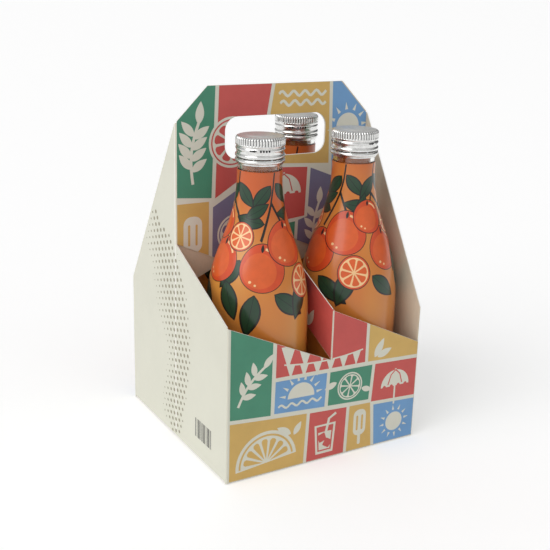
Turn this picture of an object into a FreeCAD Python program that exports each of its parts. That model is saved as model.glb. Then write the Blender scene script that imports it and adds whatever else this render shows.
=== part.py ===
"""Four-cell bottle carrier folded from one sheet of board, holding four capped glass bottles.

The frame has its origin on the floor under the middle of the carrier. +Z is up, +X runs to the right
along the front panel and -Y points to the front. All sizes are in millimetres.
"""

import FreeCAD, Part
import math
import os

from FreeCAD import Vector

# Carrier sheet
board = 0.6                      # thickness of the sheet
slack_across = 11.4              # room to spare along X for two bottles side by side
slack_deep = 12.4                # the same along Y
fold_radius = 0.4                # inside radius of every crease
split_shift = 2.0                # the front's middle crease stands this far right of centre
low_height = 63.1                # low end of the saw-tooth cut in front and back
cut_rise = 30.4                  # climb of the saw-tooth cut over one panel half
side_corner_height = 83.9        # tall corner of each side wall
handle_height = 213.9            # top edge of the handle above the floor
handle_bevel_width = 20.0        # bevel at the handle's top corners, along X
handle_bevel_drop = 20.0         # the same bevel, along Z
handle_end_gap = 0.6             # free end of a handle panel to the wall beside it
hole_width = 69.0
hole_height = 24.7
hole_corner = 8.0
hole_below_top = 18.2            # top of the hand hole to the top of the handle
base_seam = 1.0                  # gap where two base flaps meet
flap_inset = 1.6                 # base flap's side to the carton's corner
flap_taper = 2.5                 # how much more the flap's side is cut back at its free end
glue_flap_width = 16.0
glue_flap_inset = 4.0            # glue flap's ends to the ends of the corner it closes
glue_flap_bevel = 6.0

# Bottles
bottle_radius = 29.5             # glass, outside
glass_height = 187.4             # foot to lip
body_height = 84.0               # where the shoulder starts, above the bottle's foot
neck_radius = 12.4
neck_length = 20.6               # from the end of the shoulder to the lip
body_pull = 40.0                 # length of the shoulder curve's handle at the body
neck_pull = 34.0                 # and at the neck
glass_wall = 2.4
glass_floor = 5.0
heel_radius = 5.0
foot_width = 4.5                 # flat ring that the bottle stands on
punt_depth = 2.5                 # hollow under the bottle
lip_round = 0.8
drink_gap = 0.1                  # drink to glass
headspace = 13.5                 # air above the drink, below the lip
right_clearance = 0.4            # sleeve to the wall or strap on the bottle's right
handle_clearance = 1.05          # front bottles to the plane of the handle
back_clearance = 2.05            # back bottles to the back wall

# Neck finish under the cap
finish_radius = 12.0             # glass between the locking ring and the lip
ring_radius = 12.85              # locking ring that the tamper band grips
ring_height = 2.0
ring_above_band_edge = 0.9       # locking ring's foot above the band's lower edge
thread_height = 0.8              # how far the thread stands out from the finish
thread_width = 1.5
thread_turns = 1.5
thread_pitch = 3.18
thread_below_lip = 2.6           # top of the thread to the lip

# Printed sleeve
sleeve_gap = 0.1
sleeve_thickness = 0.25
sleeve_foot = 6.0                # lower edge above the bottle's foot
sleeve_below_band = 3.3          # upper edge to the tamper band's lower edge

# Roll-on cap
cap_radius = 13.9                # crest of the knurl
cap_shell = 0.35                 # sheet thickness
cap_height = 11.6                # from the slit to the top
cap_edge_round = 1.5
cap_panel_radius = 10.4          # shallow dish in the cap's top
cap_panel_depth = 0.25
knurl_count = 52
knurl_depth = 0.32
knurl_height = 3.4
knurl_land = 0.45                # share of each flute's pitch that stays at the crest
knurl_wall = 0.75                # thickness of the knurled ring
waist_depth = 0.55               # waist and groove under the knurl, inside its crest
waist_height = 0.9
arrow_bead_height = 1.9          # upper bead, which carries the printed arrows
arrow_bead_swell = 0.5           # how far the upper bead stands out of the waist
groove_height = 1.5
low_bead_swell = 0.75            # the same for the beads on both sides of the slit
slit = 0.4                       # gap between cap and tamper band
band_height = 3.2
band_roll = 0.9                  # height of the band's edge that is rolled under
band_hook = 0.45                 # how far the rolled edge reaches in from the band's bore
bridge_count = 8
bridge_width = 0.8
bridge_thickness = 0.18
bridge_gap = 0.08                # torn bridge to the cap
liner_thickness = 0.7
liner_gap = 0.05                 # liner to the cap's ceiling
liner_clearance = 0.25           # liner's rim to the knurled ring

# Worked-out sizes of the carrier, which is made to fit its bottles
sleeve_radius = bottle_radius + sleeve_gap + sleeve_thickness
carrier_width = 2 * board + 4 * sleeve_radius + slack_across
carrier_depth = 2 * board + 4 * sleeve_radius + slack_deep
half_width = carrier_width / 2
half_depth = carrier_depth / 2
outer_bend = fold_radius + board
mid_height = low_height + cut_rise
hinge_height = mid_height + cut_rise
bevel_height = handle_height - handle_bevel_drop
inner_layer = 2 * board
floor_z = inner_layer
strap_x = split_shift - board / 2
handle_end_x = half_width - board - handle_end_gap
hole_top = handle_height - hole_below_top
far = carrier_width + carrier_depth + handle_height

# Worked-out heights and radii of the bottle, above its foot and from its axis
neck_height = glass_height - neck_length
liner_bottom = glass_height
cap_ceiling = liner_bottom + liner_thickness + liner_gap
cap_top = cap_ceiling + cap_shell
cap_bottom = cap_top - cap_height
band_top = cap_bottom - slit
band_bottom = band_top - band_height
sleeve_top = band_bottom - sleeve_below_band
ring_bottom = band_bottom + ring_above_band_edge
ring_top = ring_bottom + ring_height
waist_radius = cap_radius - waist_depth
low_bead_radius = waist_radius + low_bead_swell
skirt_bore = waist_radius - cap_shell


def polar(radius, angle):
    """Point in the XY plane at an angle in degrees."""
    return Vector(radius * math.cos(math.radians(angle)), radius * math.sin(math.radians(angle)), 0)


def arc(centre, radius, start, end):
    """Arc in the XY plane between two angles in degrees, as an edge."""
    middle = Vector(centre[0], centre[1], 0)
    return Part.Arc(*[middle + polar(radius, angle) for angle in (start, (start + end) / 2, end)]).toShape()


def line(a, b):
    """Straight edge in the XY plane."""
    return Part.makeLine(Vector(a[0], a[1], 0), Vector(b[0], b[1], 0))


def flat_face(edges):
    """Face in the XY plane from edges that make one closed outline, in any order."""
    return Part.Face(Part.Wire(Part.sortEdges(edges)[0]))


def polygon(points):
    """Face in the XY plane with straight sides."""
    corners = [Vector(p[0], p[1], 0) for p in points]
    return Part.Face(Part.makePolygon(corners + corners[:1]))


def along_z(face, low, high):
    """The face's x and y become X and Y, and it is extruded from low to high."""
    shape = face.extrude(Vector(0, 0, high - low))
    shape.translate(Vector(0, 0, low))
    return shape


def along_y(face, low, high):
    """The face's x and y become X and Z, and it is extruded along Y from low to high."""
    shape = face.extrude(Vector(0, 0, low - high))
    shape.rotate(Vector(0, 0, 0), Vector(1, 0, 0), 90)
    shape.translate(Vector(0, low, 0))
    return shape


def along_x(face, low, high):
    """The face's x and y become Y and Z, and it is extruded along X from low to high."""
    shape = face.extrude(Vector(0, 0, high - low))
    shape.rotate(Vector(0, 0, 0), Vector(1, 1, 1), 120)
    shape.translate(Vector(low, 0, 0))
    return shape


def bend(centre, start):
    """Quarter ring of folded board about a centre, from a start angle, as a face."""
    end = start + 90
    inner = arc(centre, fold_radius, start, end)
    outer = arc(centre, outer_bend, start, end)
    first = line(inner.Vertexes[0].Point, outer.Vertexes[0].Point)
    last = line(inner.Vertexes[1].Point, outer.Vertexes[1].Point)
    return flat_face([first, outer, last, inner])


def rounded_rectangle(x0, y0, x1, y1, radius):
    """Rectangle with four round corners, as a face."""
    edges = [
        line((x0 + radius, y0), (x1 - radius, y0)),
        arc((x1 - radius, y0 + radius), radius, -90, 0),
        line((x1, y0 + radius), (x1, y1 - radius)),
        arc((x1 - radius, y1 - radius), radius, 0, 90),
        line((x1 - radius, y1), (x0 + radius, y1)),
        arc((x0 + radius, y1 - radius), radius, 90, 180),
        line((x0, y1 - radius), (x0, y0 + radius)),
        arc((x0 + radius, y0 + radius), radius, 180, 270),
    ]
    return flat_face(edges)


def half_turn(shape):
    """Copy turned half round about the vertical axis: the carrier is the same from front and back."""
    copy = shape.copy()
    copy.rotate(Vector(0, 0, 0), Vector(0, 0, 1), 180)
    return copy


def tube():
    """The four outer walls as one folded tube, before its top edge is cut."""
    outer = rounded_rectangle(-half_width, -half_depth, half_width, half_depth, outer_bend)
    inner = rounded_rectangle(
        -half_width + board, -half_depth + board, half_width - board, half_depth - board, fold_radius
    )
    return along_z(outer.cut(inner), board / 2, bevel_height)


def front_waste():
    """What the saw-tooth cut takes off the front wall and its corners."""
    profile = [
        (-half_width, mid_height),
        (strap_x, low_height),
        (strap_x, mid_height),
        (half_width, low_height),
        (far, low_height),
        (far, far),
        (-half_width, far),
    ]
    return along_y(polygon(profile), -half_depth - outer_bend, -half_depth + outer_bend)


def left_waste():
    """What is cut off the left wall: low in front of the handle, tall behind it."""
    crease = -board + outer_bend
    profile = [
        (-half_depth - outer_bend, mid_height),
        (-half_depth, mid_height),
        (-board, hinge_height),
        (crease, hinge_height),
        (crease, bevel_height),
        (half_depth, side_corner_height),
        (far, side_corner_height),
        (far, far),
        (-half_depth - outer_bend, far),
    ]
    return along_x(polygon(profile), -half_width - outer_bend, -half_width + outer_bend)


def strap_edge_height(run):
    """Height of the strap's upper cut at a distance from the handle."""
    return hinge_height - cut_rise * run / half_depth


def handle_panel():
    """The handle's front panel, hinged on the left wall, without its creases."""
    crease_x = -half_width + outer_bend
    strap_crease = strap_x - fold_radius
    end_height = strap_edge_height(handle_end_x - strap_x)
    first_cut = hinge_height - cut_rise * outer_bend / (half_width + strap_x)
    profile = [
        (crease_x, first_cut),
        (strap_crease, mid_height),
        (strap_crease, hinge_height),
        (strap_x + board, hinge_height),
        (handle_end_x, end_height),
        (handle_end_x, bevel_height),
        (handle_end_x - handle_bevel_width, handle_height),
        (-half_width + handle_bevel_width, handle_height),
        (crease_x, bevel_height + outer_bend),
    ]
    hole = rounded_rectangle(-hole_width / 2, hole_top - hole_height, hole_width / 2, hole_top, hole_corner)
    panel = polygon(profile).cut(hole)
    hinge = along_z(bend((crease_x, -board + outer_bend), 180), hinge_height, bevel_height)
    return along_y(panel, -board, 0).fuse(hinge)


def strap():
    """Partition strap from the handle's front panel to the front wall, with its two creases."""
    back_centre = (strap_x - fold_radius, -board - fold_radius)
    front_centre = (strap_x + outer_bend, -half_depth + outer_bend)
    front_y = front_centre[1]
    back_y = back_centre[1]
    lean = cut_rise / half_depth
    profile = [
        (front_y, low_height + lean * outer_bend),
        (back_y, mid_height - lean * (board + fold_radius)),
        (back_y, hinge_height - lean * (board + fold_radius)),
        (front_y, mid_height + lean * outer_bend),
    ]
    web = along_x(polygon(profile), strap_x, strap_x + board)
    back_fold = along_z(bend(back_centre, 0), mid_height, hinge_height)
    front_fold = along_z(bend(front_centre, 180), low_height, mid_height)
    return web.fuse([back_fold, front_fold])


def front_flap():
    """Base flap of the front wall, the outer layer of the base, with its crease."""
    fold_y = -half_depth + outer_bend
    wide = half_width - flap_inset
    narrow = wide - flap_taper
    sheet = polygon([(-wide, fold_y), (wide, fold_y), (narrow, -base_seam / 2), (-narrow, -base_seam / 2)])
    crease = along_x(bend((fold_y, outer_bend), 180), -wide, wide)
    return along_z(sheet, 0, board).fuse(crease)


def left_flap():
    """Base flap of the left wall, the inner layer of the base, with its crease."""
    fold_x = -half_width + outer_bend
    wide = half_depth - flap_inset
    narrow = wide - flap_taper
    sheet = polygon([(fold_x, -wide), (-base_seam / 2, -narrow), (-base_seam / 2, narrow), (fold_x, wide)])
    crease = along_y(bend((fold_x, board + outer_bend), 180), -wide, wide)
    return along_z(sheet, board, inner_layer).fuse(crease)


def flap_slots():
    """Clears the lower edge of the front and left walls for the creases of their flaps."""
    wide_x = half_width - flap_inset
    wide_y = half_depth - flap_inset
    front = Part.makeBox(2 * wide_x, 2 * outer_bend, outer_bend, Vector(-wide_x, -half_depth - outer_bend, 0))
    left = Part.makeBox(
        2 * outer_bend, 2 * wide_y, board + outer_bend, Vector(-half_width - outer_bend, -wide_y, 0)
    )
    return front.fuse(left)


def glue_flap():
    """Flap that closes the tube, glued inside the back wall at its low corner."""
    start = -half_width + board
    end = start + glue_flap_width
    low = inner_layer + glue_flap_inset
    high = low_height - glue_flap_inset
    profile = [(start, low), (end, low + glue_flap_bevel), (end, high - glue_flap_bevel), (start, high)]
    return along_y(polygon(profile), half_depth - 2 * board, half_depth - board)


def carrier_sheet():
    """The whole carrier: one blank, folded, and glued at the handle, the tube's seam and the base."""
    front_half = [front_waste(), left_waste(), flap_slots()]
    walls = tube().cut(front_half + [half_turn(shape) for shape in front_half])
    folded = [handle_panel(), strap(), front_flap(), left_flap()]
    whole = walls.fuse(folded + [half_turn(shape) for shape in folded] + [glue_flap()])
    return whole.removeSplitter()


def upright(edges):
    """Revolves a profile drawn as radius and height about the Z axis."""
    face = flat_face(edges)
    face.rotate(Vector(0, 0, 0), Vector(1, 0, 0), 90)
    return face.revolve(Vector(0, 0, 0), Vector(0, 0, 1), 360)


def path(points):
    """Straight edges through points, end to end."""
    return [line(a, b) for a, b in zip(points, points[1:])]


def shoulder(growth):
    """Curve from body to neck, grown outward by the given amount, as one edge."""
    low = bottle_radius + growth
    high = neck_radius + growth
    heights = (body_height, body_height + body_pull, neck_height - neck_pull, neck_height)
    curve = Part.BezierCurve()
    curve.setPoles([Vector(r, z, 0) for r, z in zip((low, low, high, high), heights)])
    return curve.toShape()


def glass_outside(growth, low, high):
    """Outer line of the glass between two heights on body and neck, grown by an amount."""
    body = bottle_radius + growth
    neck = neck_radius + growth
    return [line((body, low), (body, body_height)), shoulder(growth), line((neck, neck_height), (neck, high))]


def thread_ridge():
    """Rounded helical ridge on the neck that the cap's thread runs on."""
    top = glass_height - thread_below_lip
    start = top - thread_turns * thread_pitch - thread_width / 2
    root = finish_radius - thread_height / 2
    helix = Part.makeHelix(thread_pitch, thread_turns * thread_pitch, finish_radius)
    crest = finish_radius + thread_height
    section = [
        Vector(root, 0, -thread_width / 2),
        Vector(crest, 0, -thread_width / 5),
        Vector(crest, 0, thread_width / 5),
        Vector(root, 0, thread_width / 2),
    ]
    profile = Part.makePolygon(section + section[:1])
    ridge = Part.Wire(helix).makePipeShell([profile], True, True)
    ridge.translate(Vector(0, 0, start))
    return ridge


def bottle_glass():
    """Blown glass bottle with heel, hollow foot, shoulder, locking ring, thread and lip."""
    foot_out = bottle_radius - heel_radius
    foot_in = foot_out - foot_width
    bore = neck_radius - glass_wall
    undercut = ring_radius - neck_radius
    inside = bottle_radius - glass_wall
    edges = path([(0, punt_depth), (foot_in - punt_depth, punt_depth), (foot_in, 0), (foot_out, 0)])
    edges += [arc((foot_out, heel_radius), heel_radius, -90, 0)]
    edges += glass_outside(0, heel_radius, ring_bottom)
    edges += path([
        (neck_radius, ring_bottom),
        (ring_radius, ring_bottom + undercut),
        (ring_radius, ring_top - undercut),
        (finish_radius, ring_top),
        (finish_radius, glass_height - lip_round),
    ])
    edges += [arc((finish_radius - lip_round, glass_height - lip_round), lip_round, 0, 90)]
    edges += [line((finish_radius - lip_round, glass_height), (bore + lip_round, glass_height))]
    edges += [arc((bore + lip_round, glass_height - lip_round), lip_round, 90, 180)]
    edges += [line((bore, glass_height - lip_round), (bore, neck_height)), shoulder(-glass_wall)]
    edges += [line((inside, body_height), (inside, glass_floor + heel_radius))]
    edges += [arc((inside - heel_radius, glass_floor + heel_radius), heel_radius, 0, -90)]
    edges += path([(inside - heel_radius, glass_floor), (0, glass_floor), (0, punt_depth)])
    return upright(edges).fuse(thread_ridge()).removeSplitter()


def drink():
    """The filling, a little clear of the glass, with air left above it in the neck."""
    growth = -glass_wall - drink_gap
    radius = bottle_radius + growth
    neck = neck_radius + growth
    low = glass_floor + drink_gap
    level = glass_height - headspace
    edges = glass_outside(growth, low + heel_radius, glass_height)
    edges += path([(neck, glass_height), (0, glass_height), (0, low), (radius - heel_radius, low)])
    edges += [arc((radius - heel_radius, low + heel_radius), heel_radius, -90, 0)]
    above = Part.makeCylinder(bottle_radius, glass_height, Vector(0, 0, level))
    return upright(edges).cut(above)


def sleeve():
    """Printed sleeve shrunk on the glass from just above the heel to just under the cap."""
    inner = glass_outside(sleeve_gap, sleeve_foot, sleeve_top)
    outer = glass_outside(sleeve_gap + sleeve_thickness, sleeve_foot, sleeve_top)
    ends = []
    for height, radius in ((sleeve_foot, bottle_radius), (sleeve_top, neck_radius)):
        ends.append(line((radius + sleeve_gap, height), (radius + sleeve_gap + sleeve_thickness, height)))
    return upright(outer + [ends[1]] + inner + [ends[0]])


def knurled_ring():
    """Ring of vertical flutes round the top of the cap."""
    top = cap_top - cap_edge_round
    step = 360 / knurl_count
    land = step * knurl_land
    edges = []
    for i in range(knurl_count):
        start = i * step
        crest = polar(cap_radius, start + land)
        dip = polar(cap_radius - knurl_depth, start + (land + step) / 2)
        next_crest = polar(cap_radius, start + step)
        edges += [arc((0, 0), cap_radius, start, start + land), Part.Arc(crest, dip, next_crest).toShape()]
    bore = flat_face([Part.makeCircle(cap_radius - knurl_wall)])
    return along_z(flat_face(edges).cut(bore), top - knurl_height, top)


def swell(radius, low, high, height):
    """Rounded bead that stands out of a wall between two heights, as an edge."""
    points = ((radius, high), (radius + height, (low + high) / 2), (radius, low))
    return Part.Arc(*[Vector(r, z, 0) for r, z in points]).toShape()


def cap_body():
    """Top and beaded skirt of the cap, without the flutes."""
    flat_radius = cap_radius - cap_edge_round
    knurl_top = cap_top - cap_edge_round
    knurl_bottom = knurl_top - knurl_height
    bead_top = knurl_bottom - waist_height
    bead_bottom = bead_top - arrow_bead_height
    low_bead_top = bead_bottom - groove_height
    knurl_core = cap_radius - knurl_wall + cap_shell
    dish = cap_top - cap_panel_depth
    edges = path([
        (waist_radius, cap_bottom),
        (skirt_bore, cap_bottom),
        (skirt_bore, cap_ceiling),
        (0, cap_ceiling),
        (0, dish),
        (cap_panel_radius, dish),
        (cap_panel_radius + cap_panel_depth, cap_top),
        (flat_radius, cap_top),
    ])
    edges += [arc((flat_radius, knurl_top), cap_edge_round, 90, 0)]
    edges += path([
        (cap_radius, knurl_top),
        (knurl_core, knurl_top),
        (knurl_core, knurl_bottom),
        (waist_radius, knurl_bottom),
        (waist_radius, bead_top),
    ])
    edges += [swell(waist_radius, bead_bottom, bead_top, arrow_bead_swell)]
    edges += [line((waist_radius, bead_bottom), (waist_radius, low_bead_top))]
    edges += [swell(waist_radius, cap_bottom, low_bead_top, low_bead_swell)]
    return upright(edges)


def cap():
    """Aluminium cap with its knurl, ready to turn on the neck."""
    return cap_body().fuse(knurled_ring()).removeSplitter()


def tamper_band():
    """Lower ring that stays on the neck, with the stubs of its bridges."""
    roll_top = band_bottom + band_roll
    hook_radius = skirt_bore - band_hook
    edges = path([(skirt_bore, band_top), (waist_radius, band_top)])
    edges += [swell(waist_radius, roll_top, band_top, low_bead_swell)]
    edges += path([
        (waist_radius, roll_top),
        (hook_radius + cap_shell, band_bottom),
        (hook_radius, band_bottom),
        (hook_radius, band_bottom + cap_shell),
        (skirt_bore, roll_top),
        (skirt_bore, band_top),
    ])
    stubs = []
    for i in range(bridge_count):
        inset = (cap_shell - bridge_thickness) / 2
        corner = Vector(skirt_bore + inset, -bridge_width / 2, band_top - bridge_gap)
        stub = Part.makeBox(bridge_thickness, bridge_width, slit, corner)
        stub.rotate(Vector(0, 0, 0), Vector(0, 0, 1), i * 360 / bridge_count)
        stubs.append(stub)
    return upright(edges).fuse(stubs).removeSplitter()


def liner():
    """Sealing disc between the lip and the cap's ceiling."""
    return Part.makeCylinder(skirt_bore - liner_clearance, liner_thickness, Vector(0, 0, liner_bottom))


def bottle_places():
    """Where each bottle stands, with its cell's name: pushed towards the wall or strap on its right."""
    beside_wall = half_width - board - right_clearance - sleeve_radius
    beside_front_strap = strap_x - right_clearance - sleeve_radius
    beside_back_strap = -strap_x - board - right_clearance - sleeve_radius
    front = -board - handle_clearance - sleeve_radius
    back = half_depth - board - back_clearance - sleeve_radius
    return {
        "front_left": (beside_front_strap, front),
        "front_right": (beside_wall, front),
        "back_left": (beside_back_strap, back),
        "back_right": (beside_wall, back),
    }


def build():
    """All pieces by node name."""
    pieces = {"carrier_sheet": carrier_sheet()}
    bottle = {
        "bottle_glass": bottle_glass(),
        "drink": drink(),
        "printed_sleeve": sleeve(),
        "tamper_band": tamper_band(),
        "cap_liner": liner(),
        "screw_cap": cap(),
    }
    for cell, (x, y) in bottle_places().items():
        for name, shape in bottle.items():
            placed = shape.copy()
            placed.translate(Vector(x, y, floor_z))
            pieces[name + "_" + cell] = placed
    return pieces


os.makedirs("parts", exist_ok=True)
for node, solid in build().items():
    solid.exportStep("parts/" + node + ".step")
    box = solid.BoundBox
    print(
        f"{node}: solids {len(solid.Solids)}, valid {solid.isValid()}, volume {solid.Volume:.1f}, "
        f"x {box.XMin:.2f} {box.XMax:.2f}, y {box.YMin:.2f} {box.YMax:.2f}, z {box.ZMin:.2f} {box.ZMax:.2f}"
    )
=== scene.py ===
"""Looks of the four-cell bottle carrier: printed board, sleeved bottles and roll-on caps.

Sizes are in millimetres in the CAD's own frame and become metres where a mesh is made.
"""

import math

import bpy
import numpy as np
from mathutils import Matrix, Vector
from mathutils.geometry import delaunay_2d_cdt


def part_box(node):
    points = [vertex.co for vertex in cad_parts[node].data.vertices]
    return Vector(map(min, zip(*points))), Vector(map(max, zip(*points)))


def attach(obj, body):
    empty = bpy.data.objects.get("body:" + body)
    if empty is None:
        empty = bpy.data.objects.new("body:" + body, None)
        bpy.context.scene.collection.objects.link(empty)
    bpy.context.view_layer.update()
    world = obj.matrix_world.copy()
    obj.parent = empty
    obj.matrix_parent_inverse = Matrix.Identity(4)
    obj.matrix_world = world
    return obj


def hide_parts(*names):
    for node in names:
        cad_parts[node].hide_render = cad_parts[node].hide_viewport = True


MM = 0.001
CELLS = ("front_left", "front_right", "back_left", "back_right")

# Carrier sizes, as in the solids
HALF_W = 66.0
HALF_D = 66.5
BOARD = 0.6
CREASE = 0.4
BEND = CREASE + BOARD
STRAP_X = 1.7
LOW = 63.1
RISE = 30.4
MID = LOW + RISE
HINGE = MID + RISE
BACK_CORNER = 83.9
TOP = 213.9
BEVEL = 20.0
HANDLE_END = 64.8
HOLE = (-34.5, 171.0, 34.5, 195.7)
HOLE_R = 8.0

# Bottle sizes, as in the solids
FOOT = 1.2
BODY_R = 29.85
NECK_R = 12.75
BODY_Z = 84.0
NECK_Z = 166.8
BODY_PULL = 40.0
NECK_PULL = 34.0
SLEEVE = (6.0, 170.0)
BEAD_TOP = 182.7
BEAD_HEIGHT = 1.9
BEAD_SWELL = 0.5
WAIST_R = 13.35
CAP_FLUTES = 52

PROUD = 0.05                     # print stands this far off its board
ROOM_DARK = 0.1                 # strength of the room's light, lower right
ROOM_BRIGHT = 0.65               # and upper left
FLOOR_LIFT = 0.26                # what the floor adds to itself where it is seen


def srgb(r, g, b):
    """Linear colour with alpha from 8-bit screen values."""
    shares = (r / 255, g / 255, b / 255)
    return tuple(((v + 0.055) / 1.055) ** 2.4 if v > 10 / 255 else v / 12.92 for v in shares) + (1.0,)


# Materials


class Shader:
    """A material's node tree with short calls for the nodes that this scene uses."""

    def __init__(self, name):
        self.material = bpy.data.materials.new(name)
        self.material.use_nodes = True
        self.tree = self.material.node_tree
        self.surface = self.tree.nodes["Principled BSDF"]
        self.where = self.tree.nodes.new("ShaderNodeTexCoord").outputs["Object"]

    def node(self, kind, inputs=None, **settings):
        made = self.tree.nodes.new(kind)
        for key, value in settings.items():
            setattr(made, key, value)
        for key, value in (inputs or {}).items():
            self.put(made.inputs[key], value)
        return made

    def put(self, socket, value):
        if isinstance(value, bpy.types.NodeSocket):
            self.tree.links.new(value, socket)
        else:
            socket.default_value = value

    def set(self, **values):
        for key, value in values.items():
            self.put(self.surface.inputs[key.replace("_", " ")], value)

    def math(self, operation, a, b=0.0, clamp=False):
        return self.node("ShaderNodeMath", {0: a, 1: b}, operation=operation, use_clamp=clamp).outputs[0]

    def noise(self, size_mm, detail=3.0, roughness=0.6, stretch=None):
        where = self.where
        if stretch:
            where = self.node("ShaderNodeMapping", {"Vector": where, "Scale": stretch}).outputs[0]
        values = {"Vector": where, "Scale": 1 / (size_mm * MM), "Detail": detail, "Roughness": roughness}
        return self.node("ShaderNodeTexNoise", values).outputs["Fac"]

    def spread(self, value, low, high, to_low=0.0, to_high=1.0):
        values = {"Value": value, "From Min": low, "From Max": high, "To Min": to_low, "To Max": to_high}
        return self.node("ShaderNodeMapRange", values).outputs["Result"]

    def mix(self, factor, a, b):
        made = self.node("ShaderNodeMix", data_type="RGBA")
        self.put(made.inputs[0], factor)
        self.put(made.inputs[6], a)
        self.put(made.inputs[7], b)
        return made.outputs[2]

    def bump(self, height, depth_mm, under=None):
        values = {"Height": height, "Strength": 1.0, "Distance": depth_mm * MM}
        if under is not None:
            values["Normal"] = under
        return self.node("ShaderNodeBump", values).outputs["Normal"]

    def axes(self):
        split = self.node("ShaderNodeSeparateXYZ", {0: self.where})
        return [split.outputs[i] for i in range(3)]


def scaled(colour, factor):
    return tuple(c * factor for c in colour[:3]) + (1.0,)


def paper_grain(s, depth_mm=0.02):
    """Bump of a coated board: fine tooth over slow waviness."""
    fine = s.bump(s.noise(0.35, 4.0), depth_mm)
    return s.bump(s.noise(9.0, 2.0), depth_mm * 8, fine)


CREAM = srgb(222, 221, 206)
# Inside of the board: off-white fibre, darkened and warmed with painted bounce light and shade from the
# bottles.
FIBRE_WITH_PAINTED_BOUNCE = srgb(219, 206, 184)
CUT = srgb(243, 240, 232)


def board_material():
    """The sheet: coated cream outside, off-white fibre inside whose warm tan is painted orange bounce light
    and shade from the bottles, and pale cut edges.
    """
    s = Shader("board")
    x, y, z = s.axes()
    facing = s.node("ShaderNodeSeparateXYZ", {0: s.node("ShaderNodeNewGeometry").outputs["True Normal"]})
    out_x = s.math("GREATER_THAN", s.math("ABSOLUTE", x), (HALF_W - 0.25) * MM)
    out_y = s.math("GREATER_THAN", s.math("ABSOLUTE", y), (HALF_D - 0.25) * MM)
    centre = s.math("LESS_THAN", s.math("ABSOLUTE", y), 0.75 * MM)
    skin = s.math("GREATER_THAN", s.math("ABSOLUTE", y), 0.45 * MM)
    handle = s.math("MULTIPLY", centre, skin)
    outside = s.math("MAXIMUM", s.math("MAXIMUM", out_x, out_y), handle, clamp=True)
    upward = s.math("GREATER_THAN", s.math("ABSOLUTE", facing.outputs[2]), 0.3)
    handle_rim = s.math("MULTIPLY", centre, s.math("LESS_THAN", s.math("ABSOLUTE", facing.outputs[1]), 0.5))
    above_base = s.math("GREATER_THAN", z, 3.0 * MM)
    cut = s.math("MULTIPLY", s.math("MAXIMUM", upward, handle_rim), above_base)
    fibres = s.noise(1.6, 5.0, 0.7, (1.0, 1.0, 0.35))
    blotch = s.noise(24.0, 3.0)
    inside_with_painted_bounce = s.mix(s.spread(fibres, 0.35, 0.7), FIBRE_WITH_PAINTED_BOUNCE, scaled(FIBRE_WITH_PAINTED_BOUNCE, 0.93))
    inside_with_painted_bounce = s.mix(s.spread(blotch, 0.4, 0.7, 0.0, 0.35), inside_with_painted_bounce, scaled(FIBRE_WITH_PAINTED_BOUNCE, 0.9))
    coat = s.mix(s.spread(blotch, 0.35, 0.7), CREAM, scaled(CREAM, 0.97))
    edge = s.mix(s.spread(s.noise(0.5, 4.0), 0.35, 0.7), CUT, scaled(CUT, 0.86))
    s.set(Base_Color=s.mix(cut, s.mix(outside, inside_with_painted_bounce, coat), edge))
    s.set(Roughness=s.spread(outside, 0.0, 1.0, 0.85, 0.5))
    s.set(Normal=paper_grain(s, 0.03))
    s.surface.inputs["Specular IOR Level"].default_value = 0.35
    return s.material


def ink(name, colour, mottle=0.08):
    """Flat process ink on coated board, with a little mottle and paper tooth."""
    s = Shader("ink_" + name)
    cloud = s.spread(s.noise(14.0, 4.0), 0.35, 0.68)
    speck = s.spread(s.noise(0.5, 2.0), 0.62, 0.8, 0.0, 0.5)
    tone = s.mix(cloud, colour, scaled(colour, 1.0 - mottle))
    s.set(Base_Color=s.mix(speck, tone, scaled(colour, 1.12)))
    s.set(Roughness=s.spread(s.noise(3.0), 0.3, 0.7, 0.42, 0.54))
    s.set(Normal=paper_grain(s))
    s.surface.inputs["Specular IOR Level"].default_value = 0.4
    return s.material


def sleeve_material():
    """Gold film that deepens to orange towards the neck and in slow bands round the bottle."""
    s = Shader("sleeve_film")
    x, y, z = s.axes()
    rise = s.spread(z, 88 * MM, 176 * MM, 0.0, 0.85)
    patch = s.spread(s.noise(42.0, 1.0, 0.4, (1.0, 1.0, 0.45)), 0.35, 0.65, -0.3, 0.45)
    amount = s.math("ADD", rise, patch, clamp=True)
    s.set(Base_Color=s.mix(amount, srgb(214, 146, 64), srgb(200, 92, 36)), Roughness=0.3)
    s.set(Normal=s.bump(s.noise(18.0, 2.0), 0.12))
    s.surface.inputs["Coat Weight"].default_value = 0.25
    s.surface.inputs["Coat Roughness"].default_value = 0.12
    return s.material


def film_ink(name, colour, mottle=0.12):
    """Ink on the glossy film of a sleeve."""
    s = Shader("film_" + name)
    cloud = s.spread(s.noise(7.0, 3.0), 0.35, 0.68)
    s.set(Base_Color=s.mix(cloud, colour, scaled(colour, 1.0 - mottle)), Roughness=0.3)
    s.set(Normal=s.bump(s.noise(18.0, 2.0), 0.12))
    s.surface.inputs["Coat Weight"].default_value = 0.25
    s.surface.inputs["Coat Roughness"].default_value = 0.15
    return s.material


def metal_material(name, colour, dull):
    """Rolled aluminium with faint rings and handling marks; dull is its lowest roughness."""
    s = Shader(name)
    rings = s.noise(0.5, 2.0, 0.5, (0.05, 0.05, 1.0))
    marks = s.noise(2.5, 5.0)
    s.set(Base_Color=s.mix(s.spread(marks, 0.4, 0.7), colour, scaled(colour, 0.84)), Metallic=1.0)
    s.set(Roughness=s.spread(marks, 0.35, 0.7, dull, dull + 0.14))
    s.set(Normal=s.bump(rings, 0.02, s.bump(marks, 0.03)))
    return s.material


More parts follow.
